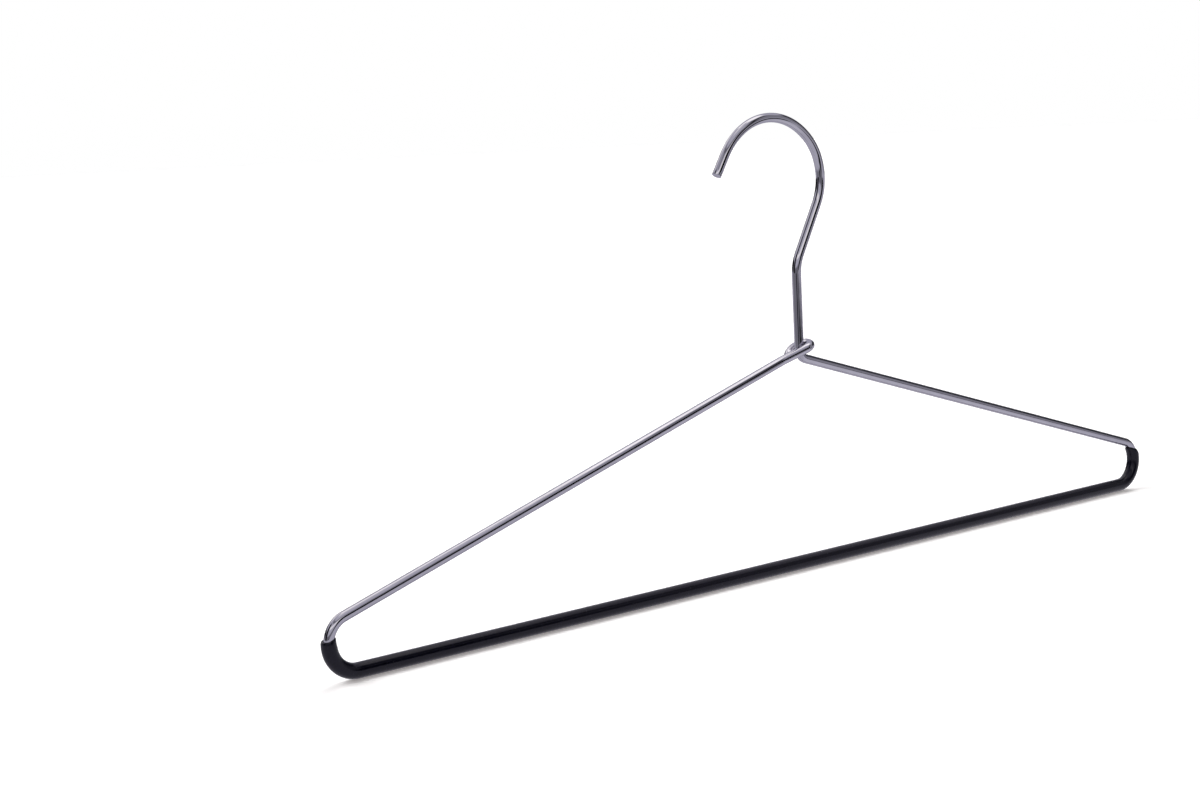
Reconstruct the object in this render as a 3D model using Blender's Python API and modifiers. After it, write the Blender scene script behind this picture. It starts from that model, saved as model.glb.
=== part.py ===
"""A wire shirt hanger: one length of chrome-plated steel wire, bent cold, and a black plastic grip sleeve.

The wire starts at the hook's tip, runs round the hook and down the stem, turns at the elbow into the right
arm, goes round the right corner, along the bar and round the left corner, climbs the left arm, and winds
round the stem as an open eye that ends in a short tail. The sleeve is a tube over the bar and most of both
corners. Where the corners were bent it crept along the inside of the bend, so its ends stand on the slant.

Lengths are in metres. +X runs along the bar, +Z is up and +Y goes through the hanger's plane. The hanger
hangs from the saddle, the highest place inside the hook, which is the origin.
"""

import math

import bmesh
import bpy
import numpy as np

# Wire and sleeve
WIRE_DIAMETER = 0.0035
SLEEVE_CLEARANCE = 0.0003
SLEEVE_WALL = 0.0006

# Frame, measured along the wire's centre line
BAR_HALF_SPAN = 0.210
RIGHT_ARM_SLOPE = math.radians(16.5)
LEFT_ARM_SLOPE = math.radians(16.8)
BAR_BEND_RADIUS = 0.0105
ARM_BEND_RADIUS = 0.0082
LEFT_SLEEVE_TURN = math.radians(10)
LEFT_SLEEVE_SLANT = math.radians(21)
RIGHT_SLEEVE_TURN = math.radians(34.5)
RIGHT_SLEEVE_SLANT = math.radians(45)

# Neck, where the wire's end goes round the stem
STEM_OFFSET = 0.0041
ELBOW_RADIUS = 0.0042
SWING_TURN = math.radians(8)
SWING_RADIUS = 0.030
SWING_REACH = 0.0115
EYE_GAP = 0.00055
EYE_TURN = math.radians(206)
EYE_FALL = 0.0016
TAIL_TURN = math.radians(35)
TAIL_RUN = 0.0010

# Stem and hook, upwards from the elbow
STEM_RUN = 0.0278
SETBACK_TURN = math.radians(29)
SETBACK_RADIUS = 0.0155
SETBACK_RUN = 0.0205
HOOK_SIDE_TURN = math.radians(71)
HOOK_SIDE_RADIUS = 0.0205
HOOK_TOP_TURN = math.radians(106)
HOOK_TOP_RADIUS = 0.0275
TIP_RUN = 0.0080

# Fineness of the round forms
BEND_STEP = math.radians(7.5)
BEVEL_RESOLUTION = 6
WELD_SHARE = 0.001

CHROME = ((0.80, 0.80, 0.84), 0.08, 1.0)
BLACK_VINYL = ((0.020, 0.020, 0.024), 0.42, 0.0)

EYE_RADIUS = WIRE_DIAMETER + EYE_GAP
X_AXIS, Y_AXIS, Z_AXIS = np.eye(3)


def unit(vector):
    return vector / np.linalg.norm(vector)


def turned(vector, axis, angle):
    """The vector turned about a unit axis, by the right-hand rule."""
    along = axis * (axis @ vector)
    return along + (vector - along) * math.cos(angle) + np.cross(axis, vector) * math.sin(angle)


class WireRoute:
    """A centre line drawn the way a wire is bent: straight runs and round bends, one after the other."""

    def __init__(self, start, heading):
        self.points = [np.array(start, float)]
        self.heading = unit(heading)

    def run(self, length):
        self.points.append(self.points[-1] + self.heading * length)

    def bend(self, target, radius, angle=None):
        """Bends towards the target direction, all the way or by the angle. Gives the bend's centre."""
        self.axis = axis = unit(np.cross(self.heading, target))
        if angle is None:
            angle = math.acos(np.clip(self.heading @ unit(target), -1.0, 1.0))
        start, spoke = self.points[-1], np.cross(self.heading, axis) * radius
        centre = start - spoke
        for share in np.linspace(0.0, 1.0, steps_for(angle) + 1)[1:]:
            self.points.append(centre + turned(spoke, axis, angle * share))
        self.heading = turned(self.heading, axis, angle)
        return centre

    def follow(self, points):
        """Adds points of a free curve that starts at the last one."""
        self.points.extend(points)
        self.heading = unit(points[-1] - points[-2])

    def mark(self):
        return len(self.points) - 1


class SleeveEnd:
    """An end of the sleeve, which the arm's bend under it pushed on the slant along the wire."""

    def __init__(self, centre, axis, foot, turn, slant):
        self.centre = centre
        self.axis = axis
        self.foot = unit(foot - centre)
        self.turn = turn
        self.slant = slant

    def push(self, corners):
        """Turns the tube's corners about the bend's centre: in full at the end, and less towards its foot."""
        flat = corners - self.centre
        along = np.outer(flat @ self.axis, self.axis)
        flat -= along
        reach = np.linalg.norm(flat, axis=1)
        turn = np.arctan2(flat @ np.cross(self.axis, self.foot), flat @ self.foot)
        share = np.where(reach < 2 * ARM_BEND_RADIUS, np.clip(turn / self.turn, 0.0, 1.0), 0.0)
        push = share * np.arctan(math.tan(self.slant) * (ARM_BEND_RADIUS - reach) / reach)
        sideways = np.cross(self.axis, flat)
        return self.centre + along + flat * np.cos(push)[:, None] + sideways * np.sin(push)[:, None]


def steps_for(angle):
    return max(2, math.ceil(angle / BEND_STEP))


def arm_start(slope):
    """How far out and how high a straight arm leaves its corner. The bar's centre line is at height zero."""
    out = BAR_HALF_SPAN - ARM_BEND_RADIUS * (1 - math.sin(slope))
    height = BAR_BEND_RADIUS + ARM_BEND_RADIUS * math.cos(slope)
    return out, height


def stem_foot():
    """Where the straight stem meets the elbow's bend, above the point where it would cross the right arm."""
    out, height = arm_start(RIGHT_ARM_SLOPE)
    corner_height = height + (out - STEM_OFFSET) * math.tan(RIGHT_ARM_SLOPE)
    return np.array([STEM_OFFSET, 0.0, corner_height + elbow_reach()])


def elbow_reach():
    """Length that the elbow's bend takes from the stem, and from the arm."""
    return ELBOW_RADIUS * math.tan((math.pi / 2 - RIGHT_ARM_SLOPE) / 2)


def hook_route():
    """The stem and hook from the elbow up to the tip, and the saddle's place."""
    route = WireRoute(stem_foot(), Z_AXIS)
    route.run(STEM_RUN)
    route.bend(X_AXIS, SETBACK_RADIUS, SETBACK_TURN)
    route.run(SETBACK_RUN)
    route.bend(turned(route.heading, -Y_AXIS, HOOK_SIDE_TURN), HOOK_SIDE_RADIUS)
    centre = route.bend(turned(route.heading, -Y_AXIS, HOOK_TOP_TURN), HOOK_TOP_RADIUS)
    route.run(TIP_RUN)
    return route, centre + Z_AXIS * (HOOK_TOP_RADIUS - WIRE_DIAMETER / 2)


def swing_corner():
    """Where the left arm's line meets the line that passes the stem at the eye's radius, seen from above."""
    touch = STEM_OFFSET - EYE_RADIUS * math.sin(SWING_TURN)
    corner = STEM_OFFSET - SWING_REACH
    return corner, (touch - corner) * math.tan(SWING_TURN) - EYE_RADIUS * math.cos(SWING_TURN)


def left_lean():
    """Forward lean of the left half, about the bar, that carries its arm to the swing's corner."""
    out, height = arm_start(LEFT_ARM_SLOPE)
    sideways, forward = swing_corner()
    return math.asin(-forward / (height + (out + sideways) * math.tan(LEFT_ARM_SLOPE)))


def frame_route():
    """The elbow, right arm, bar, left arm, eye and tail, with the sleeve's stretch and its two ends."""
    out, _ = arm_start(RIGHT_ARM_SLOPE)
    right_arm = X_AXIS * math.cos(RIGHT_ARM_SLOPE) - Z_AXIS * math.sin(RIGHT_ARM_SLOPE)
    route = WireRoute(stem_foot(), -Z_AXIS)
    route.bend(right_arm, ELBOW_RADIUS)
    route.run((out - STEM_OFFSET) / math.cos(RIGHT_ARM_SLOPE) - elbow_reach())
    route.bend(-Z_AXIS, ARM_BEND_RADIUS, math.pi / 2 - RIGHT_ARM_SLOPE - RIGHT_SLEEVE_TURN)
    sleeve_start = route.mark()
    centre = route.bend(-Z_AXIS, ARM_BEND_RADIUS)
    right_end = SleeveEnd(centre, -route.axis, route.points[-1], RIGHT_SLEEVE_TURN, RIGHT_SLEEVE_SLANT)
    route.bend(-X_AXIS, BAR_BEND_RADIUS)
    route.run(2 * (BAR_HALF_SPAN - BAR_BEND_RADIUS))
    leaning_up = turned(Z_AXIS, X_AXIS, left_lean())
    left_arm = X_AXIS * math.cos(LEFT_ARM_SLOPE) + leaning_up * math.sin(LEFT_ARM_SLOPE)
    route.bend(leaning_up, BAR_BEND_RADIUS)
    foot = route.points[-1]
    centre = route.bend(left_arm, ARM_BEND_RADIUS, LEFT_SLEEVE_TURN)
    left_end = SleeveEnd(centre, route.axis, foot, LEFT_SLEEVE_TURN, LEFT_SLEEVE_SLANT)
    stretch = slice(sleeve_start, route.mark() + 1)
    route.bend(left_arm, ARM_BEND_RADIUS)
    wind_eye(route)
    return route, stretch, (right_end, left_end)


def wind_eye(route):
    """Runs up the left arm, swings it past the stem's front, winds the eye and ends in the tail."""
    arm, arm_foot = route.heading, route.points[-1]
    corner = swing_corner()[0]
    climb = arm[2] / math.hypot(arm[0], arm[1])
    past_stem = unit(np.array([math.cos(SWING_TURN), -math.sin(SWING_TURN), climb]))
    swing_reach = SWING_RADIUS * math.tan(math.acos(arm @ past_stem) / 2)
    route.run((corner - arm_foot[0]) / arm[0] - swing_reach)
    route.bend(past_stem, SWING_RADIUS)
    route.run((STEM_OFFSET - EYE_RADIUS * math.sin(SWING_TURN) - corner) / past_stem[0] - swing_reach)
    wound = EYE_TURN * np.linspace(0.0, 1.0, steps_for(EYE_TURN) + 1)
    turn = wound - SWING_TURN
    rise = EYE_RADIUS * climb * (np.sin(turn) + math.sin(SWING_TURN))
    fall = EYE_FALL * np.clip((wound - math.pi / 2) / (EYE_TURN - math.pi / 2), 0.0, 1.0) ** 2
    eye = np.stack([STEM_OFFSET + EYE_RADIUS * np.sin(turn), -EYE_RADIUS * np.cos(turn),
                    route.points[-1][2] + rise - fall], axis=1)
    route.follow(eye[1:])
    route.bend(-Y_AXIS, EYE_RADIUS, TAIL_TURN)
    route.run(TAIL_RUN)


def remove_all_objects():
    for thing in list(bpy.data.objects):
        bpy.data.objects.remove(thing, do_unlink=True)


def finish(name, look):
    """A Principled material from a colour, a roughness and a metallic value."""
    colour, roughness, metallic = look
    material = bpy.data.materials.new(name)
    material.use_nodes = True
    shader = material.node_tree.nodes["Principled BSDF"]
    shader.inputs["Base Color"].default_value = (*colour, 1.0)
    shader.inputs["Roughness"].default_value = roughness
    shader.inputs["Metallic"].default_value = metallic
    return material


def bar_of_wire(name, points, radius, capped, collection):
    """A round bar along the points, as a curve object."""
    curve = bpy.data.curves.new(name, "CURVE")
    curve.dimensions = "3D"
    curve.bevel_depth = radius
    curve.bevel_resolution = BEVEL_RESOLUTION
    curve.use_fill_caps = capped
    spline = curve.splines.new("POLY")
    spline.points.add(len(points) - 1)
    for place, point in zip(spline.points, points):
        place.co = (*point, 1.0)
    bar = bpy.data.objects.new(name, curve)
    collection.objects.link(bar)
    return bar


def hanger_wire(points, collection):
    wire = bar_of_wire("hanger_wire", points, WIRE_DIAMETER / 2, True, collection)
    wire.data.materials.append(finish("chrome_plate", CHROME))
    return wire


def grip_sleeve(points, ends, collection):
    """The sleeve's outer skin as an open tube with pushed ends along the wire, thickened to its bore."""
    outer_radius = WIRE_DIAMETER / 2 + SLEEVE_CLEARANCE + SLEEVE_WALL
    guide = bar_of_wire("grip_sleeve_guide", points, outer_radius, False, collection)
    skin = bpy.data.meshes.new_from_object(guide.evaluated_get(bpy.context.evaluated_depsgraph_get()))
    bpy.data.objects.remove(guide, do_unlink=True)
    weld(skin)
    corners = np.array([corner.co for corner in skin.vertices])
    for end in ends:
        corners = end.push(corners)
    skin.vertices.foreach_set("co", corners.ravel())
    sleeve = bpy.data.objects.new("grip_sleeve", skin)
    collection.objects.link(sleeve)
    wall = sleeve.modifiers.new("wall", "SOLIDIFY")
    wall.thickness = SLEEVE_WALL
    wall.offset = -1.0
    wall.use_even_offset = True
    skin.materials.clear()
    skin.materials.append(finish("black_vinyl", BLACK_VINYL))
    skin.shade_smooth()
    return sleeve


def weld(mesh):
    """Joins doubled vertices and faces the skin outwards."""
    work = bmesh.new()
    work.from_mesh(mesh)
    bmesh.ops.remove_doubles(work, verts=work.verts, dist=WIRE_DIAMETER * WELD_SHARE)
    bmesh.ops.recalc_face_normals(work, faces=work.faces)
    work.to_mesh(mesh)
    work.free()


def main():
    remove_all_objects()
    collection = bpy.data.collections.new("shirt_hanger")
    bpy.context.scene.collection.children.link(collection)
    hook, saddle = hook_route()
    frame, stretch, ends = frame_route()
    for end in ends:
        end.centre = end.centre - saddle
    hanger_wire(np.array(hook.points[::-1] + frame.points[1:]) - saddle, collection)
    grip_sleeve(np.array(frame.points[stretch]) - saddle, ends, collection)


main()
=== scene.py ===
"""Looks of a wire shirt hanger: a polished chrome wire, its black grip sleeve, and a white photo studio.

The wire and the sleeve are surfaces of a round profile carried along the wire's centre line. The line is
drawn the way such a wire is bent, from the same sizes as the CAD part, so each piece lies where its solid
lies. Lengths are in metres, in the part's frame: +X runs along the bar, +Z is up, and the origin is the
hook's saddle.
"""

import logging
import math
from dataclasses import dataclass, field
from enum import Enum

import bpy
import numpy as np
from mathutils import Matrix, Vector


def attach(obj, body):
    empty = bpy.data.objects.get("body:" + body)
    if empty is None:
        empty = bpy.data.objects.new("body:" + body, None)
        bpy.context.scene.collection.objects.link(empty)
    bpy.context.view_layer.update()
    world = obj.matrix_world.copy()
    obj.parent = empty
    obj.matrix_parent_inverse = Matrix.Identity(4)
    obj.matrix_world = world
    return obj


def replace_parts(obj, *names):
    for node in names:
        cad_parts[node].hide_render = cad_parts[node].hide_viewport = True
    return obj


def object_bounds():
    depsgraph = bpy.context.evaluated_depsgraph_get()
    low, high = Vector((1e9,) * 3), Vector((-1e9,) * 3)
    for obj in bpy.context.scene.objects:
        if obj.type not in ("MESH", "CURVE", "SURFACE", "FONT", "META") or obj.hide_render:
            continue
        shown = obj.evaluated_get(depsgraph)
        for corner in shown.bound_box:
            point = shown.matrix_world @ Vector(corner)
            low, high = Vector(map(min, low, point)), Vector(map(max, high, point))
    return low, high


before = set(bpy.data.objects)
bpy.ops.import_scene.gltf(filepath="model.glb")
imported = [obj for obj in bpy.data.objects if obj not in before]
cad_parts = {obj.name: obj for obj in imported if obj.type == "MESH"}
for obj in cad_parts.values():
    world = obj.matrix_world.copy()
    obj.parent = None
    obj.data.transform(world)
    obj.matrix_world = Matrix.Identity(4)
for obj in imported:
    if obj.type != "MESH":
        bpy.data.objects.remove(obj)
cad_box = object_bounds()

log = logging.getLogger("shirt_hanger")

BODY = "root"
MM = 0.001
X_AXIS, Y_AXIS, Z_AXIS = np.eye(3)
STRAIGHT_STEP = 2.5 * MM
BEND_STEP = math.radians(2.0)
SIDES = 40
EDGE_STEPS = np.radians([0.0, 30.0, 60.0, 90.0])
FLOOR_GAP = 0.02 * MM


class Slot(Enum):
    """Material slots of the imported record."""

    CHROME = "chrome_plate"
    VINYL = "black_vinyl"


class Rays(Enum):
    """Kinds of rays that a sheet of the studio can be seen by."""

    CAMERA = "visible_camera"
    DIFFUSE = "visible_diffuse"
    GLOSSY = "visible_glossy"
    TRANSMISSION = "visible_transmission"
    SHADOW = "visible_shadow"


# Centre line


def unit(vector: np.ndarray) -> np.ndarray:
    """The vector at length one."""
    return vector / np.linalg.norm(vector)


def turned(vector: np.ndarray, axis: np.ndarray, angle: np.ndarray | float) -> np.ndarray:
    """Turns a vector about a unit axis by one angle or by a whole array of them.

    The part along the axis stays, and the part across it becomes across * cos + (axis x across) * sin.

    Args:
        vector: the vector to turn.
        axis: unit axis of the turn.
        angle: radians, one value or an array.

    Returns:
        The turned vector, or one row for each angle.
    """
    along = axis * (axis @ vector)
    across = vector - along
    cosine, sine = np.cos(angle)[..., None], np.sin(angle)[..., None]
    return along + across * cosine + np.cross(axis, vector) * sine


class WireRoute:
    """A centre line drawn as a wire is bent: straight runs and round bends, one after the other."""

    def __init__(self, start: np.ndarray, heading: np.ndarray) -> None:
        """Starts a line at a point.

        Args:
            start: first point.
            heading: direction in which the wire sets off.
        """
        self.points = np.array([start], float)
        self.heading = unit(np.asarray(heading, float))
        self.axis = Y_AXIS

    @property
    def end(self) -> np.ndarray:
        """The last point."""
        return self.points[-1]

    def run(self, length: float) -> None:
        """Goes straight on by the length, in even steps."""
        count = max(1, math.ceil(length / STRAIGHT_STEP))
        reach = np.linspace(0.0, length, count + 1)[1:, None]
        self.points = np.vstack([self.points, self.end + self.heading * reach])

    def bend(self, target: np.ndarray, radius: float, angle: float | None = None) -> np.ndarray:
        """Bends on a circle towards the target direction: centre + spoke turned about the circle's axis.

        Args:
            target: direction to bend towards.
            radius: radius of the centre line's circle.
            angle: how far to bend, or None to reach the target.

        Returns:
            The circle's centre.
        """
        self.axis = axis = unit(np.cross(self.heading, target))
        if angle is None:
            angle = math.acos(np.clip(self.heading @ unit(target), -1.0, 1.0))
        spoke = np.cross(self.heading, axis) * radius
        centre = self.end - spoke
        count = max(2, math.ceil(angle / BEND_STEP))
        turn = np.linspace(0.0, angle, count + 1)[1:]
        self.points = np.vstack([self.points, centre + turned(spoke, axis, turn)])
        self.heading = turned(self.heading, axis, np.float64(angle))
        return centre

    def follow(self, points: np.ndarray) -> None:
        """Adds the points of a free curve that starts at the last one."""
        self.points = np.vstack([self.points, points])
        self.heading = unit(points[-1] - points[-2])

    def mark(self) -> int:
        """Index of the last point."""
        return len(self.points) - 1


@dataclass(frozen=True)
class SleeveEnd:
    """An end of the sleeve, which the arm's bend under it pushed on the slant along the wire."""

    centre: np.ndarray
    axis: np.ndarray
    foot: np.ndarray
    turn: float
    slant: float

    def push(self, corners: np.ndarray) -> np.ndarray:
        """Slides the tube's points along the bent wire.

        Each point turns about the bend's centre by arctan(tan(slant) * depth / reach), where the reach is its
        distance from the bend's axis and the depth is how much nearer than the wire's line it lies. The
        turn is whole at the sleeve's end and fades evenly to nothing at the bend's foot. Points beyond
        twice the bend's radius belong to the rest of the sleeve and stay.

        Args:
            corners: one row for each point.

        Returns:
            The points after the slide.
        """
        flat = corners - self.centre
        along = np.outer(flat @ self.axis, self.axis)
        flat = flat - along
        reach = np.linalg.norm(flat, axis=1)
        spoke = self.foot - self.centre
        bend_radius = np.linalg.norm(spoke)
        turn = np.arctan2(flat @ np.cross(self.axis, spoke), flat @ spoke)
        share = np.where(reach < 2 * bend_radius, np.clip(turn / self.turn, 0.0, 1.0), 0.0)
        push = share * np.arctan(math.tan(self.slant) * (bend_radius - reach) / reach)
        sideways = np.cross(self.axis, flat)
        return self.centre + along + flat * np.cos(push)[:, None] + sideways * np.sin(push)[:, None]

    @property
    def outward(self) -> np.ndarray:
        """Unit direction from the bend's centre to the sleeve's end."""
        return turned(unit(self.foot - self.centre), self.axis, np.float64(self.turn))


# Surfaces


def arc_lengths(points: np.ndarray) -> np.ndarray:
    """Length along a line up to each of its points."""
    steps = np.linalg.norm(np.diff(points, axis=0), axis=1)
    return np.concatenate([[0.0], np.cumsum(steps)])


def tangents(points: np.ndarray) -> np.ndarray:
    """Unit direction at each point: the mean of the directions of the steps on both sides."""
    steps = np.diff(points, axis=0)
    steps /= np.linalg.norm(steps, axis=1, keepdims=True)
    both = np.vstack([steps[:1], steps[:-1] + steps[1:], steps[-1:]])
    return both / np.linalg.norm(both, axis=1, keepdims=True)


def carried_frames(points: np.ndarray) -> tuple[np.ndarray, np.ndarray, np.ndarray]:
    """Frames that go along a line without twisting about it.

    Each side vector is the one before it, less its part along the new tangent.

    Args:
        points: the line.

    Returns:
        Tangents, side vectors and upright vectors, one row for each point.
    """
    along = tangents(points)
    side = np.empty_like(along)
    side[0] = unit(np.cross(along[0], Y_AXIS))
    for index in range(1, len(along)):
        kept = side[index - 1] - along[index] * (along[index] @ side[index - 1])
        side[index] = unit(kept)
    return along, side, np.cross(along, side)


@dataclass(frozen=True)
class Station:
    """Rings of a carried profile: which point of the line, how far past it, and how wide, all as arrays."""

    place: np.ndarray
    offset: np.ndarray
    radius: np.ndarray


def rounded_edge(radius: float, size: float) -> tuple[np.ndarray, np.ndarray]:
    """Rings round a cut edge, from the face to the side.

    Args:
        radius: radius of the side.
        size: radius of the small round.

    Returns:
        The rings' radii, and how far in from the face they lie.
    """
    return radius - size * (1 - np.sin(EDGE_STEPS)), size * (1 - np.cos(EDGE_STEPS))


def carried_tube(points: np.ndarray, rings: Station,
                 looped: bool) -> tuple[np.ndarray, np.ndarray, np.ndarray]:
    """Carries a circle along a line.

    A point of the surface is the line's point, plus the tangent times the ring's offset, plus
    (side * cos + upright * sin) times the ring's radius, with the angle going once round.

    Args:
        points: the centre line.
        rings: the rings, in their order over the surface.
        looped: whether the last ring joins the first. Otherwise both ends close to a middle point.

    Returns:
        Vertices, faces of four corners (the last repeated in a triangle), and each vertex's place on the
        straight wire, as length, height and depth.
    """
    along, side, upright = carried_frames(points)
    angle = np.linspace(0.0, 2 * math.pi, SIDES, endpoint=False)
    spokes = (side[rings.place, None] * np.cos(angle)[None, :, None]
              + upright[rings.place, None] * np.sin(angle)[None, :, None])
    centres = points[rings.place] + along[rings.place] * rings.offset[:, None]
    surface = centres[:, None] + spokes * rings.radius[:, None, None]
    length = arc_lengths(points)[rings.place] + rings.offset
    straight = np.stack(np.broadcast_arrays(length[:, None], rings.radius[:, None] * np.cos(angle),
                                            rings.radius[:, None] * np.sin(angle)), axis=-1)
    count = len(rings.place)
    index = np.arange(count * SIDES).reshape(count, SIDES)
    after = np.roll(index, -1, axis=1)
    if looped:
        low, high = index, np.roll(index, -1, axis=0)
        low_after, high_after = after, np.roll(after, -1, axis=0)
    else:
        low, high, low_after, high_after = index[:-1], index[1:], after[:-1], after[1:]
    quads = np.stack([low, low_after, high_after, high], axis=-1).reshape(-1, 4)
    vertices, places = surface.reshape(-1, 3), straight.reshape(-1, 3)
    if looped:
        return vertices, quads, places
    start, end = len(vertices), len(vertices) + 1
    vertices = np.vstack([vertices, centres[:1], centres[-1:]])
    places = np.vstack([places, [[length[0], 0.0, 0.0], [length[-1], 0.0, 0.0]]])
    first = np.stack([after[0], index[0], np.full(SIDES, start), np.full(SIDES, start)], axis=-1)
    last = np.stack([index[-1], after[-1], np.full(SIDES, end), np.full(SIDES, end)], axis=-1)
    return vertices, np.vstack([quads, first, last]), places


def mesh_object(name: str, vertices: np.ndarray, faces: np.ndarray, places: np.ndarray) -> bpy.types.Object:
    """Makes a smooth mesh object at the origin, with the straight wire's places as an attribute.

    Args:
        name: name of the object and its mesh.
        vertices: one row for each vertex.
        faces: rows of four corners, with the last repeated in a triangle.
        places: one row for each vertex, kept as the attribute "drawn".

    Returns:
        The object, linked to the scene.
    """
    corners = [tuple(row[:3]) if row[2] == row[3] else tuple(row) for row in faces.tolist()]
    mesh = bpy.data.meshes.new(name)
    mesh.from_pydata(vertices.tolist(), [], corners)
    drawn = mesh.attributes.new("drawn", "FLOAT_VECTOR", "POINT")
    drawn.data.foreach_set("vector", places.astype(np.float32).ravel())
    mesh.shade_smooth()
    thing = bpy.data.objects.new(name, mesh)
    bpy.context.scene.collection.objects.link(thing)
    return thing


# Finishes


class Nodes:
    """Short calls for building one shader node tree."""

    MIX_COLOURS = (6, 7)
    MIX_RESULT = 2

    def __init__(self, tree: bpy.types.NodeTree) -> None:
        """Takes the tree that the calls work on."""
        self.tree = tree

    def add(self, kind: str, values: dict | None = None, **settings: object) -> bpy.types.Node:
        """Adds a node.

        Args:
            kind: the node's type name.
            values: socket name or index to a plain value, or to another node's output.
            **settings: properties of the node.

        Returns:
            The node.
        """
        node = self.tree.nodes.new(kind)
        for name, value in settings.items():
            setattr(node, name, value)
        for socket, value in (values or {}).items():
            if isinstance(value, bpy.types.NodeSocket):
                self.tree.links.new(value, node.inputs[socket])
            else:
                node.inputs[socket].default_value = value
        return node

    def maths(self, operation: str, *values: object) -> bpy.types.NodeSocket:
        """Result of a maths node on plain values or sockets."""
        node = self.add("ShaderNodeMath", dict(enumerate(values)), operation=operation)
        return node.outputs[0]

    def spread(self, value: bpy.types.NodeSocket, low: float, high: float, to_low: float = 0.0,
               to_high: float = 1.0) -> bpy.types.NodeSocket:
        """Maps a value from one range to another, smoothly and clamped.

        Args:
            value: the value to map.
            low: where the source range starts.
            high: where the source range ends.
            to_low: result at the low end.
            to_high: result at the high end.

        Returns:
            The mapped value.
        """
        node = self.add("ShaderNodeMapRange", {"Value": value, "From Min": low, "From Max": high,
                                               "To Min": to_low, "To Max": to_high},
                        interpolation_type="SMOOTHSTEP")
        return node.outputs["Result"]

    def blend(self, factor: bpy.types.NodeSocket, *colours: tuple[float, ...]) -> bpy.types.NodeSocket:
        """Mixes two colours: the first where the factor is 0, the second where it is 1."""
        node = self.add("ShaderNodeMix", {"Factor": factor}, data_type="RGBA")
        for index, colour in zip(self.MIX_COLOURS, colours):
            node.inputs[index].default_value = (*colour, 1.0)
        return node.outputs[self.MIX_RESULT]

    def noise(self, place: bpy.types.NodeSocket, scale: bpy.types.NodeSocket | float, detail: float = 2.0,
              roughness: float = 0.5) -> bpy.types.NodeSocket:
        """Noise about 0.5 at a place, with about one lump for each 1/scale of length."""
        node = self.add("ShaderNodeTexNoise", {"Vector": place, "Scale": scale, "Detail": detail,
                                               "Roughness": roughness})
        return node.outputs["Fac"]

    def looking(self) -> bpy.types.NodeSocket:
        """1 for rays from the camera, from a reflection or through glass, and 0 for all others."""
        rays = self.add("ShaderNodeLightPath").outputs
        seen = self.maths("MAXIMUM", rays["Is Camera Ray"], rays["Is Glossy Ray"])
        return self.maths("MAXIMUM", seen, rays["Is Transmission Ray"])


def new_material(name: str) -> tuple[bpy.types.Material, Nodes, bpy.types.Node]:
    """An empty node material with a Principled shader.

    Args:
        name: the material's name.

    Returns:
        The material, its node helper and the shader.
    """
    material = bpy.data.materials.new(name)
    material.use_nodes = True
    nodes = Nodes(material.node_tree)
    return material, nodes, material.node_tree.nodes["Principled BSDF"]


@dataclass(frozen=True)
class DrawnGrain:
    """Fine lines that a wire or tube keeps from the die that it was pulled through, slow waves, and specks.

    The stretch is a line's width over its length, and the scales count lines, waves and specks to a metre.
    """

    stretch: float
    line_scale: float
    wave_scale: float
    speck_scale: float
    speck_range: tuple[float, float] = (0.68, 0.76)
    name: str = "drawn_grain"

    def group(self) -> bpy.types.NodeTree:
        """Builds the group once: its outputs are lines, slow waves, and specks, each from 0 to 1.

        Returns:
            The node group.
        """
        known = bpy.data.node_groups.get(self.name)
        if known is not None:
            return known
        tree = bpy.data.node_groups.new(self.name, "ShaderNodeTree")
        for way, sockets in (("INPUT", ("Stretch", "Line Scale", "Wave Scale", "Speck Scale")),
                             ("OUTPUT", ("Lines", "Waves", "Specks"))):
            for socket in sockets:
                tree.interface.new_socket(socket, in_out=way, socket_type="NodeSocketFloat")
        nodes = Nodes(tree)
        given = nodes.add("NodeGroupInput").outputs
        drawn = nodes.add("ShaderNodeAttribute", attribute_type="GEOMETRY", attribute_name="drawn")
        place = drawn.outputs["Vector"]
        split = nodes.add("ShaderNodeSeparateXYZ", {0: place}).outputs
        shortened = nodes.maths("MULTIPLY", split["X"], given["Stretch"])
        pulled = nodes.add("ShaderNodeCombineXYZ", {"X": shortened, "Y": split["Y"], "Z": split["Z"]})
        lines = nodes.noise(pulled.outputs["Vector"], given["Line Scale"], detail=3.0, roughness=0.6)
        waves = nodes.noise(place, given["Wave Scale"], detail=1.0, roughness=0.4)
        specks = nodes.spread(nodes.noise(place, given["Speck Scale"]), *self.speck_range)
        nodes.add("NodeGroupOutput", {"Lines": lines, "Waves": waves, "Specks": specks})
        return tree

    def use(self, nodes: Nodes) -> bpy.types.Node:
        """Places the group in a material, at this grain's sizes."""
        sizes = {"Stretch": self.stretch, "Line Scale": self.line_scale, "Wave Scale": self.wave_scale,
                 "Speck Scale": self.speck_scale}
        return nodes.add("ShaderNodeGroup", sizes, node_tree=self.group())

    @staticmethod
    def emboss(nodes: Nodes, shader: bpy.types.Node, grain: bpy.types.Node, wave_height: float,
               line_height: float) -> None:
        """Bumps the surface by the waves and the lines.

        Args:
            nodes: the material's nodes.
            shader: the shader whose surface is bumped.
            grain: the group node.
            wave_height: height of the waves.
            line_height: height of the lines.
        """
        waves = nodes.maths("MULTIPLY", grain.outputs["Waves"], wave_height)
        height = nodes.maths("MULTIPLY_ADD", grain.outputs["Lines"], line_height, waves)
        bump = nodes.add("ShaderNodeBump", {"Height": height, "Distance": 1.0, "Strength": 1.0})
        nodes.tree.links.new(bump.outputs["Normal"], shader.inputs["Normal"])


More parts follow.
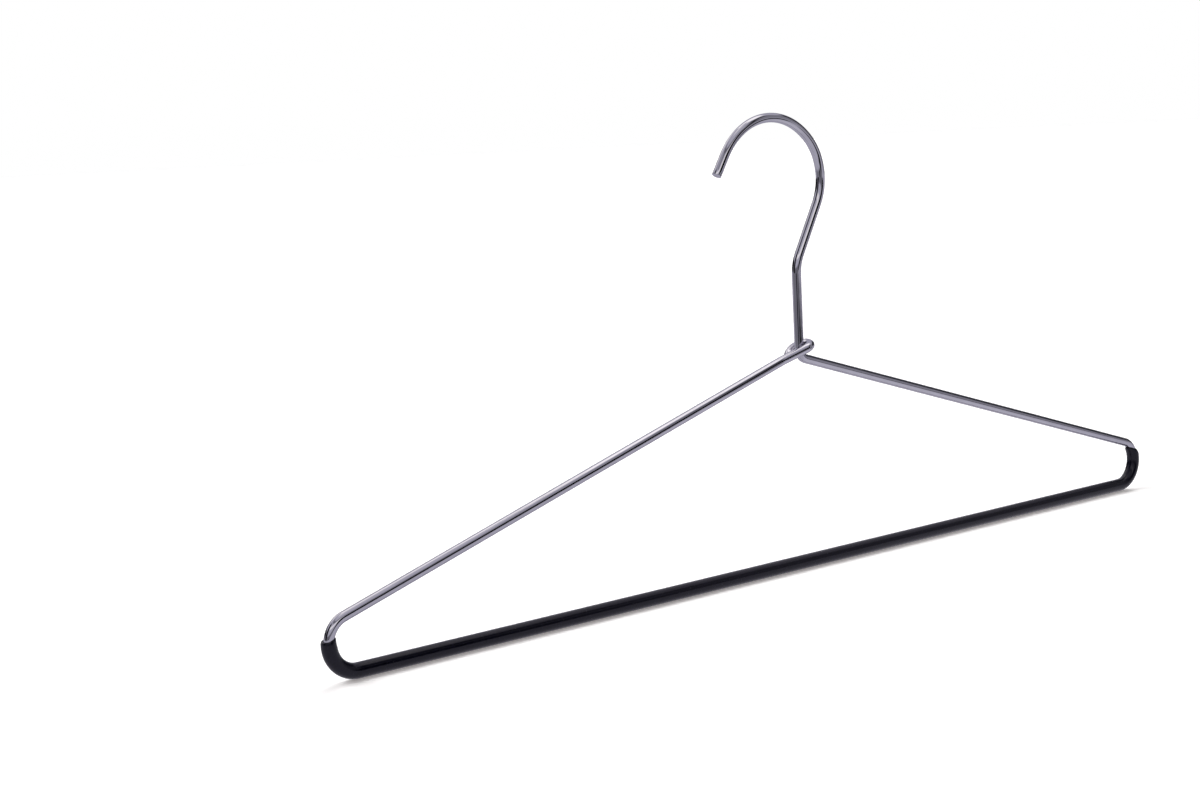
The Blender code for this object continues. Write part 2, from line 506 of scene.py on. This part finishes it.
@dataclass(frozen=True)
class ChromePlate:
    """Bright chrome plate over drawn steel wire."""

    colour: tuple[float, float, float] = (0.56, 0.55, 0.60)
    edge_tint: tuple[float, float, float] = (0.72, 0.72, 0.76)
    roughness: float = 0.055
    line_roughness: float = 0.03
    speck_roughness: float = 0.18
    wave_shade: float = 0.94
    wave_height: float = 0.04 * MM
    line_height: float = 0.0007 * MM
    line_range: tuple[float, float] = (0.40, 0.75)
    wave_range: tuple[float, float] = (0.3, 0.7)
    grain: DrawnGrain = DrawnGrain(stretch=0.012, line_scale=2600.0, wave_scale=160.0, speck_scale=1500.0)

    def material(self) -> bpy.types.Material:
        """Chrome with faint drawing lines, slow waves in its reflections, and a few dull specks."""
        material, nodes, shader = new_material(Slot.CHROME.value)
        grain = self.grain.use(nodes)
        lined = nodes.spread(grain.outputs["Lines"], *self.line_range, self.roughness,
                             self.roughness + self.line_roughness)
        dull = nodes.maths("MULTIPLY_ADD", grain.outputs["Specks"], self.speck_roughness, lined)
        nodes.tree.links.new(dull, shader.inputs["Roughness"])
        shaded = tuple(self.wave_shade * part for part in self.colour)
        tone = nodes.blend(nodes.spread(grain.outputs["Waves"], *self.wave_range), self.colour, shaded)
        nodes.tree.links.new(tone, shader.inputs["Base Color"])
        self.grain.emboss(nodes, shader, grain, self.wave_height, self.line_height)
        shader.inputs["Metallic"].default_value = 1.0
        shader.inputs["Specular Tint"].default_value = (*self.edge_tint, 1.0)
        return material


@dataclass(frozen=True)
class BlackVinyl:
    """Satin black soft PVC tube."""

    colour: tuple[float, float, float] = (0.0022, 0.0022, 0.0068)
    specular_tint: tuple[float, float, float] = (0.93, 0.90, 1.0)
    dust: tuple[float, float, float] = (0.16, 0.16, 0.17)
    dust_share: float = 0.35
    roughness: tuple[float, float] = (0.13, 0.21)
    wave_height: float = 0.015 * MM
    line_height: float = 0.004 * MM
    refraction: float = 1.5
    gloss: float = 0.33
    wave_range: tuple[float, float] = (0.3, 0.7)
    grain: DrawnGrain = DrawnGrain(stretch=0.03, line_scale=2600.0, wave_scale=500.0, speck_scale=2300.0)

    def material(self) -> bpy.types.Material:
        """Black plastic with a faint pull along it, a soft orange peel and light dust specks."""
        material, nodes, shader = new_material(Slot.VINYL.value)
        grain = self.grain.use(nodes)
        dusty = nodes.maths("MULTIPLY", grain.outputs["Specks"], self.dust_share)
        nodes.tree.links.new(nodes.blend(dusty, self.colour, self.dust), shader.inputs["Base Color"])
        dull = nodes.spread(grain.outputs["Waves"], *self.wave_range, *self.roughness)
        nodes.tree.links.new(dull, shader.inputs["Roughness"])
        self.grain.emboss(nodes, shader, grain, self.wave_height, self.line_height)
        shader.inputs["IOR"].default_value = self.refraction
        shader.inputs["Specular Tint"].default_value = (*self.specular_tint, 1.0)
        shader.inputs["Specular IOR Level"].default_value = self.gloss
        return material


# The hanger


@dataclass
class HangerWire:
    """The one bent wire: hook, stem, elbow, arms, bar, eye and tail."""

    diameter: float = 3.5 * MM
    bar_half_span: float = 210 * MM
    right_arm_slope: float = math.radians(16.5)
    left_arm_slope: float = math.radians(16.8)
    bar_bend_radius: float = 10.5 * MM
    arm_bend_radius: float = 8.2 * MM
    left_sleeve_turn: float = math.radians(10)
    left_sleeve_slant: float = math.radians(21)
    right_sleeve_turn: float = math.radians(34.5)
    right_sleeve_slant: float = math.radians(45)
    stem_offset: float = 4.1 * MM
    elbow_radius: float = 4.2 * MM
    swing_turn: float = math.radians(8)
    swing_radius: float = 30 * MM
    swing_reach: float = 11.5 * MM
    eye_gap: float = 0.55 * MM
    eye_turn: float = math.radians(206)
    eye_fall: float = 1.6 * MM
    tail_turn: float = math.radians(35)
    tail_run: float = 1.0 * MM
    stem_run: float = 27.8 * MM
    setback_turn: float = math.radians(29)
    setback_radius: float = 15.5 * MM
    setback_run: float = 20.5 * MM
    hook_side_turn: float = math.radians(71)
    hook_side_radius: float = 20.5 * MM
    hook_top_turn: float = math.radians(106)
    hook_top_radius: float = 27.5 * MM
    tip_run: float = 8.0 * MM
    edge_break: float = 0.18 * MM
    face_dish: float = 0.05 * MM
    face_rings: tuple[float, ...] = (0.35, 0.70, 0.93)
    face_ring_depths: tuple[float, ...] = (0.95, 0.55, 0.1)
    saddle: np.ndarray = field(init=False)
    line: np.ndarray = field(init=False)
    sleeve_line: np.ndarray = field(init=False)
    sleeve_ends: list[SleeveEnd] = field(init=False)

    def __post_init__(self) -> None:
        """Draws the whole centre line, and notes the part of it that the sleeve covers."""
        hook, self.saddle = self.hook_route()
        self.sleeve_ends = []
        rest, start, end = self.frame_route()
        self.line = np.vstack([hook.points[::-1], rest.points[1:]]) - self.saddle
        self.sleeve_line = rest.points[start:end + 1] - self.saddle

    @property
    def radius(self) -> float:
        """Half the wire's thickness."""
        return self.diameter / 2

    @property
    def eye_radius(self) -> float:
        """Radius of the eye's centre line about the stem."""
        return self.diameter + self.eye_gap

    def arm_start(self, slope: float) -> tuple[float, float]:
        """How far out and how high a straight arm of that slope leaves its corner, above the bar's line."""
        out = self.bar_half_span - self.arm_bend_radius * (1 - math.sin(slope))
        return out, self.bar_bend_radius + self.arm_bend_radius * math.cos(slope)

    def elbow_reach(self) -> float:
        """Length that the elbow's bend takes from the stem, and from the arm."""
        return self.elbow_radius * math.tan((math.pi / 2 - self.right_arm_slope) / 2)

    def stem_foot(self) -> np.ndarray:
        """Where the straight stem meets the elbow's bend."""
        out, height = self.arm_start(self.right_arm_slope)
        corner_height = height + (out - self.stem_offset) * math.tan(self.right_arm_slope)
        return np.array([self.stem_offset, 0.0, corner_height + self.elbow_reach()])

    def hook_route(self) -> tuple[WireRoute, np.ndarray]:
        """The stem and hook from the elbow up to the tip.

        Returns:
            The route, and the saddle, the highest place inside the hook.
        """
        route = WireRoute(self.stem_foot(), Z_AXIS)
        route.run(self.stem_run)
        route.bend(X_AXIS, self.setback_radius, self.setback_turn)
        route.run(self.setback_run)
        side_end = turned(route.heading, -Y_AXIS, np.float64(self.hook_side_turn))
        route.bend(side_end, self.hook_side_radius)
        top_end = turned(route.heading, -Y_AXIS, np.float64(self.hook_top_turn))
        centre = route.bend(top_end, self.hook_top_radius)
        route.run(self.tip_run)
        return route, centre + Z_AXIS * (self.hook_top_radius - self.radius)

    def swing_corner(self) -> tuple[float, float]:
        """Where the left arm's line meets the line that passes the stem, seen from above, as (x, y)."""
        touch = self.stem_offset - self.eye_radius * math.sin(self.swing_turn)
        corner = self.stem_offset - self.swing_reach
        forward = (touch - corner) * math.tan(self.swing_turn) - self.eye_radius * math.cos(self.swing_turn)
        return corner, forward

    def left_lean(self) -> float:
        """Forward lean of the left half about the bar, which carries its arm to the swing's corner."""
        out, height = self.arm_start(self.left_arm_slope)
        sideways, forward = self.swing_corner()
        return math.asin(-forward / (height + (out + sideways) * math.tan(self.left_arm_slope)))

    def frame_route(self) -> tuple[WireRoute, int, int]:
        """The elbow, right arm, bar, left arm, eye and tail.

        Returns:
            The route, and the indexes between which the sleeve lies.
        """
        out, _ = self.arm_start(self.right_arm_slope)
        right_arm = X_AXIS * math.cos(self.right_arm_slope) - Z_AXIS * math.sin(self.right_arm_slope)
        route = WireRoute(self.stem_foot(), -Z_AXIS)
        route.bend(right_arm, self.elbow_radius)
        route.run((out - self.stem_offset) / math.cos(self.right_arm_slope) - self.elbow_reach())
        route.bend(-Z_AXIS, self.arm_bend_radius, math.pi / 2 - self.right_arm_slope - self.right_sleeve_turn)
        sleeve_start = route.mark()
        centre = route.bend(-Z_AXIS, self.arm_bend_radius)
        self.note_end(centre, -route.axis, route.end, self.right_sleeve_turn, self.right_sleeve_slant)
        route.bend(-X_AXIS, self.bar_bend_radius)
        route.run(2 * (self.bar_half_span - self.bar_bend_radius))
        leaning_up = turned(Z_AXIS, X_AXIS, np.float64(self.left_lean()))
        left_arm = X_AXIS * math.cos(self.left_arm_slope) + leaning_up * math.sin(self.left_arm_slope)
        route.bend(leaning_up, self.bar_bend_radius)
        foot = route.end
        centre = route.bend(left_arm, self.arm_bend_radius, self.left_sleeve_turn)
        self.note_end(centre, route.axis, foot, self.left_sleeve_turn, self.left_sleeve_slant)
        sleeve_end = route.mark()
        route.bend(left_arm, self.arm_bend_radius)
        self.wind_eye(route)
        return route, sleeve_start, sleeve_end

    def note_end(self, centre: np.ndarray, axis: np.ndarray, foot: np.ndarray, turn: float,
                 slant: float) -> None:
        """Notes where a sleeve end lies on its bend, in the part's frame."""
        self.sleeve_ends.append(SleeveEnd(centre - self.saddle, axis, foot - self.saddle, turn, slant))

    def wind_eye(self, route: WireRoute) -> None:
        """Runs up the left arm, swings it past the stem's front, winds the eye and ends in the tail.

        The eye is a circle about the stem seen from above. Its height follows the arm's climb across the
        circle, less a fall that grows with the square of the turn past the first quarter.

        Args:
            route: the route, which stands at the left arm's foot.
        """
        arm, arm_foot = route.heading, route.end
        corner = self.swing_corner()[0]
        climb = arm[2] / math.hypot(arm[0], arm[1])
        past_stem = unit(np.array([math.cos(self.swing_turn), -math.sin(self.swing_turn), climb]))
        swing_reach = self.swing_radius * math.tan(math.acos(arm @ past_stem) / 2)
        route.run((corner - arm_foot[0]) / arm[0] - swing_reach)
        route.bend(past_stem, self.swing_radius)
        touch = self.stem_offset - self.eye_radius * math.sin(self.swing_turn)
        route.run((touch - corner) / past_stem[0] - swing_reach)
        wound = np.linspace(0.0, self.eye_turn, math.ceil(self.eye_turn / BEND_STEP) + 1)
        turn = wound - self.swing_turn
        rise = self.eye_radius * climb * (np.sin(turn) + math.sin(self.swing_turn))
        fall = self.eye_fall * np.clip((wound - math.pi / 2) / (self.eye_turn - math.pi / 2), 0.0, 1.0) ** 2
        eye = np.stack([self.stem_offset + self.eye_radius * np.sin(turn), -self.eye_radius * np.cos(turn),
                        route.end[2] + rise - fall], axis=1)
        route.follow(eye[1:])
        route.bend(-Y_AXIS, self.eye_radius, self.tail_turn)
        route.run(self.tail_run)

    def rings(self) -> Station:
        """Rings from the tip's cut face to the tail's: each face is dished, and its edge is a small round."""
        last = len(self.line) - 1
        edge_radius, edge_offset = rounded_edge(self.radius, self.edge_break)
        face_radius = (self.radius - self.edge_break) * np.array(self.face_rings)
        face_offset = self.face_dish * np.array(self.face_ring_depths)
        end_radius = np.concatenate([face_radius, edge_radius])
        end_offset = np.concatenate([face_offset, edge_offset])
        middle = np.arange(1, last)
        place = np.concatenate([np.zeros(len(end_radius), int), middle, np.full(len(end_radius), last)])
        offset = np.concatenate([end_offset, np.zeros(len(middle)), -end_offset[::-1]])
        radius = np.concatenate([end_radius, np.full(len(middle), self.radius), end_radius[::-1]])
        return Station(place, offset, radius)

    def build(self, finish: ChromePlate) -> bpy.types.Object:
        """Makes the wire and dresses it.

        Args:
            finish: the chrome.

        Returns:
            The finished piece.
        """
        wire = mesh_object("chrome_wire", *carried_tube(self.line, self.rings(), looped=False))
        wire.data.materials.append(finish.material())
        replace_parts(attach(wire, BODY), "hanger_wire")
        return wire


@dataclass
class GripSleeve:
    """The black tube over the bar and most of both corners."""

    line: np.ndarray
    ends: list[SleeveEnd]
    wire_radius: float
    outer_radius: float = 2.65 * MM
    squeeze: float = 0.04 * MM
    edge_round: float = 0.12 * MM
    end_thinning: tuple[float, float] = (0.55 * MM, 0.35 * MM)
    end_lean: tuple[float, float] = (-0.10 * MM, 0.35 * MM)
    end_fade: float = 3.2 * MM

    @property
    def bore(self) -> float:
        """Radius of the hole, which holds the wire."""
        return self.wire_radius + self.squeeze

    def end_shares(self, run: np.ndarray) -> np.ndarray:
        """How near each length along the sleeve is to its two ends: the square of a fall from 1 to 0.

        Args:
            run: lengths from the first end.

        Returns:
            Two rows of shares, one for each end.
        """
        whole = arc_lengths(self.line)[-1]
        gaps = np.stack([run, whole - run])
        return np.clip(1.0 - gaps / self.end_fade, 0.0, 1.0) ** 2

    def rings(self) -> Station:
        """Rings along the outside, round one cut end, back through the bore, and round the other end."""
        last = len(self.line) - 1
        bore = self.bore
        outer_radius, outer_offset = rounded_edge(self.outer_radius, self.edge_round)
        edge_radius = np.concatenate([[bore, bore + self.edge_round], outer_radius])
        edge_offset = np.concatenate([[self.edge_round, 0.0], outer_offset])
        middle = np.arange(1, last)
        flat = np.zeros(len(middle))
        place = np.concatenate([np.zeros(len(edge_radius), int), middle, np.full(len(edge_radius), last),
                                middle[::-1]])
        offset = np.concatenate([edge_offset, flat, -edge_offset[::-1], flat])
        radius = np.concatenate([edge_radius, np.full(len(middle), self.outer_radius), edge_radius[::-1],
                                 np.full(len(middle), bore)])
        thinned = self.end_thinning @ self.end_shares(arc_lengths(self.line)[place])
        wall_share = (radius - bore) / (self.outer_radius - bore)
        return Station(place, offset, radius - thinned * wall_share)

    def lean(self, corners: np.ndarray, places: np.ndarray) -> np.ndarray:
        """Shifts the outside sideways near both ends, where the springy tube presses on one side of the wire.

        The shift is the end's lean times its share of nearness, times how far out in the wall a point lies.

        Args:
            corners: the tube's points.
            places: their places on the straight wire.

        Returns:
            The shifted points.
        """
        depth = (np.hypot(places[:, 1], places[:, 2]) - self.bore) / (self.outer_radius - self.bore)
        shares = self.end_shares(places[:, 0]) * np.clip(depth, 0.0, 1.0)
        for end, lean, share in zip(self.ends, self.end_lean, shares):
            corners = corners + np.outer(share, end.outward * lean)
        return corners

    def build(self, finish: BlackVinyl) -> bpy.types.Object:
        """Makes the sleeve and dresses it.

        Args:
            finish: the black plastic.

        Returns:
            The finished piece.
        """
        corners, faces, places = carried_tube(self.line, self.rings(), looped=True)
        corners = self.lean(corners, places)
        for end in self.ends:
            corners = end.push(corners)
        sleeve = mesh_object("vinyl_sleeve", corners, faces, places)
        sleeve.data.materials.append(finish.material())
        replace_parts(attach(sleeve, BODY), "grip_sleeve")
        return sleeve


# Studio


@dataclass(frozen=True)
class Card:
    """A bright or dark area of the studio, painted into reflections as highlight or shade, by direction in
    degrees.

    Azimuth 0 is in front of the hanger, 90 is to its right, and elevation is above the horizon. A card is
    a window in azimuth and elevation, sheared by its slope, whose edge goes from nothing to full. A
    brightness of 1 is white.
    """

    azimuth: float
    elevation: float
    half_width: float
    half_height: float
    brightness: float
    edge: float = 6.0
    slope: float = 0.0

    def share(self, azimuth: np.ndarray, elevation: np.ndarray) -> np.ndarray:
        """How much of the card each direction shows: the product of two smooth steps, from 0 to 1."""
        across = (azimuth - self.azimuth + 180.0) % 360.0 - 180.0
        above = elevation - self.elevation - self.slope * across
        inside = [np.clip((half - np.abs(off)) / self.edge + 0.5, 0.0, 1.0)
                  for half, off in ((self.half_width, across), (self.half_height, above))]
        return np.prod([step * step * (3.0 - 2.0 * step) for step in inside], axis=0)


@dataclass(frozen=True)
class ReflectedRoom:
    """Painted reflections of a room round the white set: glowing sheets seen by reflections, never by the
    camera.

    The room is an even pale grey. Its cards are a simple stand-in for a photo studio, which the photograph
    doesn't show. Each is named for how it looks, and its place and size are in steps of five degrees.
    """

    # The bright cards paint highlights and the dark cards paint shade into the reflections.
    dark_left: Card = Card(azimuth=-100, elevation=20, half_width=20, half_height=30, brightness=0, edge=10)
    dark_low_belt: Card = Card(azimuth=-35, elevation=0, half_width=45, half_height=10, brightness=0.2)
    bright_strip: Card = Card(azimuth=-30, elevation=30, half_width=45, half_height=5, brightness=1.2,
                              slope=-0.1)
    dark_high_belt: Card = Card(azimuth=-45, elevation=50, half_width=70, half_height=5, brightness=0.2,
                                slope=-0.25)
    dark_front: Card = Card(azimuth=20, elevation=10, half_width=20, half_height=15, brightness=0)
    dark_front_right: Card = Card(azimuth=45, elevation=10, half_width=15, half_height=40, brightness=0,
                                  edge=20)
    grey_right: Card = Card(azimuth=80, elevation=15, half_width=40, half_height=20, brightness=0.3)
    dark_right: Card = Card(azimuth=90, elevation=20, half_width=20, half_height=15, brightness=0.05)
    bright_high_right: Card = Card(azimuth=110, elevation=65, half_width=60, half_height=10, brightness=1.6)
    bright_top: Card = Card(azimuth=0, elevation=90, half_width=180, half_height=10, brightness=1.1, edge=10)
    dark_back: Card = Card(azimuth=-165, elevation=10, half_width=40, half_height=10, brightness=0)
    bright_back: Card = Card(azimuth=-175, elevation=40, half_width=20, half_height=10, brightness=1.3)

    # The table's cards paint shade and a paler patch into the floor's painted reflection.
    shaded_table_left: Card = Card(azimuth=-70, elevation=0, half_width=75, half_height=10, brightness=0.25)
    dark_table_left: Card = Card(azimuth=-50, elevation=-5, half_width=10, half_height=5, brightness=0)
    dark_table_front: Card = Card(azimuth=5, elevation=-10, half_width=30, half_height=5, brightness=0)
    dark_table_right: Card = Card(azimuth=55, elevation=-10, half_width=15, half_height=5, brightness=0)
    pale_table_right: Card = Card(azimuth=60, elevation=-45, half_width=40, half_height=20, brightness=0.7)

    wall_level: float = 0.62
    # The table's plain level paints the floor darker in reflections than it renders.
    table_level: float = 0.61
    tint: tuple[float, float, float] = (0.98, 0.96, 1.09)
    # Tint of the painted highlights where the glow is bright, in the place of lamps.
    painted_highlight_tint: tuple[float, float, float] = (1.03, 1.0, 0.98)
    painted_highlight_span: tuple[float, float] = (0.6, 1.1)
    wall_distance: float = 8.0
    table_hole: float = 0.6 * MM
    table_rings: int = 110
    table_eye_height: float = 0.10
    table_clearance: float = 0.4 * MM
    wall_foot: float = -2.0
    azimuth_step: float = 2.0
    elevation_step: float = 1.0

    def build(self, middle: np.ndarray, floor_height: float) -> None:
        """Makes the painted reflections: the walls as part of a sphere, and the table as a flat round sheet.

        Both are grids in azimuth. The table's rings widen evenly in ratio, and a ring's cards are looked up
        by the elevation at which an eye at table_eye_height over the floor sees it.

        Args:
            middle: the point that directions are measured from.
            floor_height: height of the floor.
        """
        round_about = np.arange(-180.0, 180.0, self.azimuth_step)
        upwards = np.arange(self.wall_foot, 90.0 + self.elevation_step, self.elevation_step)
        azimuth, elevation = np.meshgrid(round_about, upwards, indexing="ij")
        walls = self.places(azimuth, elevation, np.full_like(azimuth, self.wall_distance)) + middle
        self.surface("painted_reflection_walls", walls, self.glow(self.walls(), self.wall_level, azimuth, elevation))
        rings = np.geomspace(self.table_hole, self.wall_distance, self.table_rings)
        azimuth, reach = np.meshgrid(round_about, rings, indexing="ij")
        seen_at = -np.degrees(np.arctan(self.table_eye_height / reach))
        table = self.places(azimuth, np.zeros_like(azimuth), reach) + middle
        table[..., 2] = floor_height + self.table_clearance
        self.surface("painted_reflection_table", table, self.glow(self.table(), self.table_level, azimuth, seen_at))

    def walls(self) -> tuple[Card, ...]:
        """The cards of the walls and the ceiling, each laid over those before it."""
        return (self.dark_left, self.dark_low_belt, self.bright_strip, self.dark_high_belt, self.dark_front,
                self.dark_front_right, self.grey_right, self.dark_right, self.bright_high_right,
                self.bright_top, self.dark_back, self.bright_back)

    def table(self) -> tuple[Card, ...]:
        """The cards of the table's painted reflection, each laid over those before it."""
        return (self.shaded_table_left, self.dark_table_left, self.dark_table_front, self.dark_table_right,
                self.pale_table_right)

    @staticmethod
    def places(azimuth: np.ndarray, elevation: np.ndarray, reach: np.ndarray) -> np.ndarray:
        """Points in directions given in degrees, at a distance."""
        turn, rise = np.radians(azimuth), np.radians(elevation)
        out = np.stack([np.sin(turn) * np.cos(rise), -np.cos(turn) * np.cos(rise), np.sin(rise)], axis=-1)
        return out * reach[..., None]

    @staticmethod
    def glow(cards: tuple[Card, ...], level: float, azimuth: np.ndarray, elevation: np.ndarray) -> np.ndarray:
        """Brightness in each direction: the plain level, with each card mixed over it by its share."""
        glow = np.full_like(azimuth, level)
        for card in cards:
            share = card.share(azimuth, elevation)
            glow = glow * (1.0 - share) + card.brightness * share
        return glow

    def surface(self, name: str, points: np.ndarray, glow: np.ndarray) -> None:
        """Makes a glowing sheet that only reflections see, closed round the azimuth.

        Args:
            name: the object's name.
            points: a grid of points, azimuth first.
            glow: brightness at each point.
        """
        index = np.arange(glow.size).reshape(glow.shape)
        after = np.roll(index, -1, axis=0)
        faces = np.stack([index[:, :-1], after[:, :-1], after[:, 1:], index[:, 1:]], axis=-1).reshape(-1, 4)
        mesh = bpy.data.meshes.new(name)
        mesh.from_pydata(points.reshape(-1, 3).tolist(), [], faces.tolist())
        held = mesh.attributes.new("glow", "FLOAT", "POINT")
        held.data.foreach_set("value", glow.astype(np.float32).ravel())
        sheet = bpy.data.objects.new(name, mesh)
        bpy.context.scene.collection.objects.link(sheet)
        material = bpy.data.materials.new(name)
        material.use_nodes = True
        material.node_tree.nodes.clear()
        nodes = Nodes(material.node_tree)
        attribute = nodes.add("ShaderNodeAttribute", attribute_type="GEOMETRY", attribute_name="glow")
        read = attribute.outputs["Fac"]
        # Painted reflection: the glow is its brightness, and its bright parts take the painted highlight
        # tint.
        shade = nodes.blend(nodes.spread(read, *self.painted_highlight_span), self.tint, self.painted_highlight_tint)
        light = nodes.add("ShaderNodeEmission", {"Color": shade, "Strength": read})
        nodes.add("ShaderNodeOutputMaterial", {"Surface": light.outputs[0]})
        mesh.materials.append(material)
        for rays in Rays:
            setattr(sheet, rays.value, rays is Rays.GLOSSY)


@dataclass(frozen=True)
class StudioCamera:
    """The camera at the photograph's place."""

    place: tuple[float, float, float] = (-0.55209, -0.55293, 0.00404)
    yaw: float = math.radians(-40.083)
    pitch: float = math.radians(7.560)
    roll: float = math.radians(-2.792)
    lens: float = 63.561
    sensor: float = 36.0
    frame_width: float = 1200.0
    shift_pixels: tuple[float, float] = (-0.5, 0.5)

    def build(self) -> None:
        """Makes the camera: its axes are the columns of roll about the view line, after pitch and yaw."""
        camera = bpy.data.cameras.new("camera")
        camera.sensor_width, camera.lens = self.sensor, self.lens
        camera.shift_x, camera.shift_y = (pixels / self.frame_width for pixels in self.shift_pixels)
        level = math.cos(self.pitch)
        back = np.array([math.sin(self.yaw) * level, -math.cos(self.yaw) * level, math.sin(self.pitch)])
        right = np.array([math.cos(self.yaw), math.sin(self.yaw), 0.0])
        up = np.cross(back, right)
        pose = np.eye(4)
        pose[:3, 0] = math.cos(self.roll) * right + math.sin(self.roll) * up
        pose[:3, 1] = -math.sin(self.roll) * right + math.cos(self.roll) * up
        pose[:3, 2], pose[:3, 3] = back, self.place
        thing = bpy.data.objects.new("camera", camera)
        bpy.context.scene.collection.objects.link(thing)
        thing.matrix_world = Matrix(pose.tolist())
        bpy.context.scene.camera = thing


@dataclass
class Studio:
    """White floor and world, two soft lamps, the painted room that reflections show, and the camera."""

    floor_height: float
    floor_radius: float = 12.0
    floor_colour: tuple[float, float, float] = (0.93, 0.93, 0.93)
    floor_glow: float = 0.26
    floor_glow_tint: tuple[float, float, float] = (1.0, 0.93, 0.92)
    floor_corners: int = 128
    floor_shade: float = 0.995
    floor_shade_scale: float = 3.0
    floor_roughness: float = 0.9
    world_fill: float = 0.3
    lamp_strength: float = 2.0
    lamp_spread: float = 44.0
    lamp_directions: tuple[tuple[float, float], ...] = ((125.0, 40.0), (218.0, 41.0))
    aim: tuple[float, float, float] = (0.0, 0.0, -0.09)
    room: ReflectedRoom = field(default_factory=ReflectedRoom)
    camera: StudioCamera = field(default_factory=StudioCamera)

    def build(self) -> None:
        """Makes everything round the hanger."""
        self.make_floor()
        self.make_world()
        self.room.build(np.array(self.aim), self.floor_height)
        self.make_lamps()
        self.camera.build()

    def make_floor(self) -> None:
        """A round white floor just under the sleeve, which keeps the hanger's shadow."""
        angle = np.linspace(0.0, 2 * math.pi, self.floor_corners, endpoint=False)
        rim = np.stack([np.cos(angle), np.sin(angle), np.zeros_like(angle)], axis=1) * self.floor_radius
        rim[:, 2] = self.floor_height
        mesh = bpy.data.meshes.new("floor")
        mesh.from_pydata(rim.tolist(), [], [tuple(range(len(rim)))])
        floor = bpy.data.objects.new("floor", mesh)
        bpy.context.scene.collection.objects.link(floor)
        material, nodes, shader = new_material("white_paper")
        place = nodes.add("ShaderNodeTexCoord").outputs["Object"]
        shaded = tuple(self.floor_shade * part for part in self.floor_colour)
        tone = nodes.blend(nodes.noise(place, self.floor_shade_scale), self.floor_colour, shaded)
        nodes.tree.links.new(tone, shader.inputs["Base Color"])
        shader.inputs["Roughness"].default_value = self.floor_roughness
        shader.inputs["Specular IOR Level"].default_value = 0.0
        glow = nodes.maths("MULTIPLY", nodes.looking(), self.floor_glow)
        shader.inputs["Emission Color"].default_value = (*self.floor_glow_tint, 1.0)
        nodes.tree.links.new(glow, shader.inputs["Emission Strength"])
        mesh.materials.append(material)

    def make_world(self) -> None:
        """A white world for the camera and for reflections, and a gentler one for the light on things."""
        world = bpy.data.worlds.new("studio")
        world.use_nodes = True
        nodes = Nodes(world.node_tree)
        world.node_tree.nodes.clear()
        plain = (1.0, 1.0, 1.0, 1.0)
        fill = nodes.add("ShaderNodeBackground", {"Color": plain, "Strength": self.world_fill})
        white = nodes.add("ShaderNodeBackground", {"Color": plain, "Strength": 1.0})
        mix = nodes.add("ShaderNodeMixShader", {0: nodes.looking(), 1: fill.outputs[0], 2: white.outputs[0]})
        nodes.add("ShaderNodeOutputWorld", {"Surface": mix.outputs[0]})
        bpy.context.scene.world = world

    def make_lamps(self) -> None:
        """Wide soft lamps from behind on both sides, which throw the short shadow in front of the bar."""
        for number, (azimuth, elevation) in enumerate(self.lamp_directions):
            lamp = bpy.data.lights.new(f"soft_lamp_{number}", "SUN")
            lamp.energy = self.lamp_strength
            lamp.angle = math.radians(self.lamp_spread)
            thing = bpy.data.objects.new(lamp.name, lamp)
            thing.visible_glossy = False
            bpy.context.scene.collection.objects.link(thing)
            out = ReflectedRoom.places(np.array(azimuth), np.array(elevation), np.array(1.0))
            across = unit(np.cross(Z_AXIS, out))
            turn = np.eye(4)
            turn[:3, 0], turn[:3, 1], turn[:3, 2] = across, np.cross(out, across), out
            thing.matrix_world = Matrix(turn.tolist())


def main() -> None:
    logging.basicConfig(level=logging.INFO, format="%(name)s: %(message)s")
    bpy.context.scene.view_settings.view_transform = "Standard"
    wire = HangerWire()
    sleeve = GripSleeve(wire.sleeve_line, wire.sleeve_ends, wire.radius)
    pieces = [wire.build(ChromePlate()), sleeve.build(BlackVinyl())]
    for piece in pieces:
        log.info("%s: %d vertices, %d faces", piece.name, len(piece.data.vertices), len(piece.data.polygons))
    Studio(floor_height=cad_box[0].z - FLOOR_GAP).build()


if __name__ == "__main__":
    main()
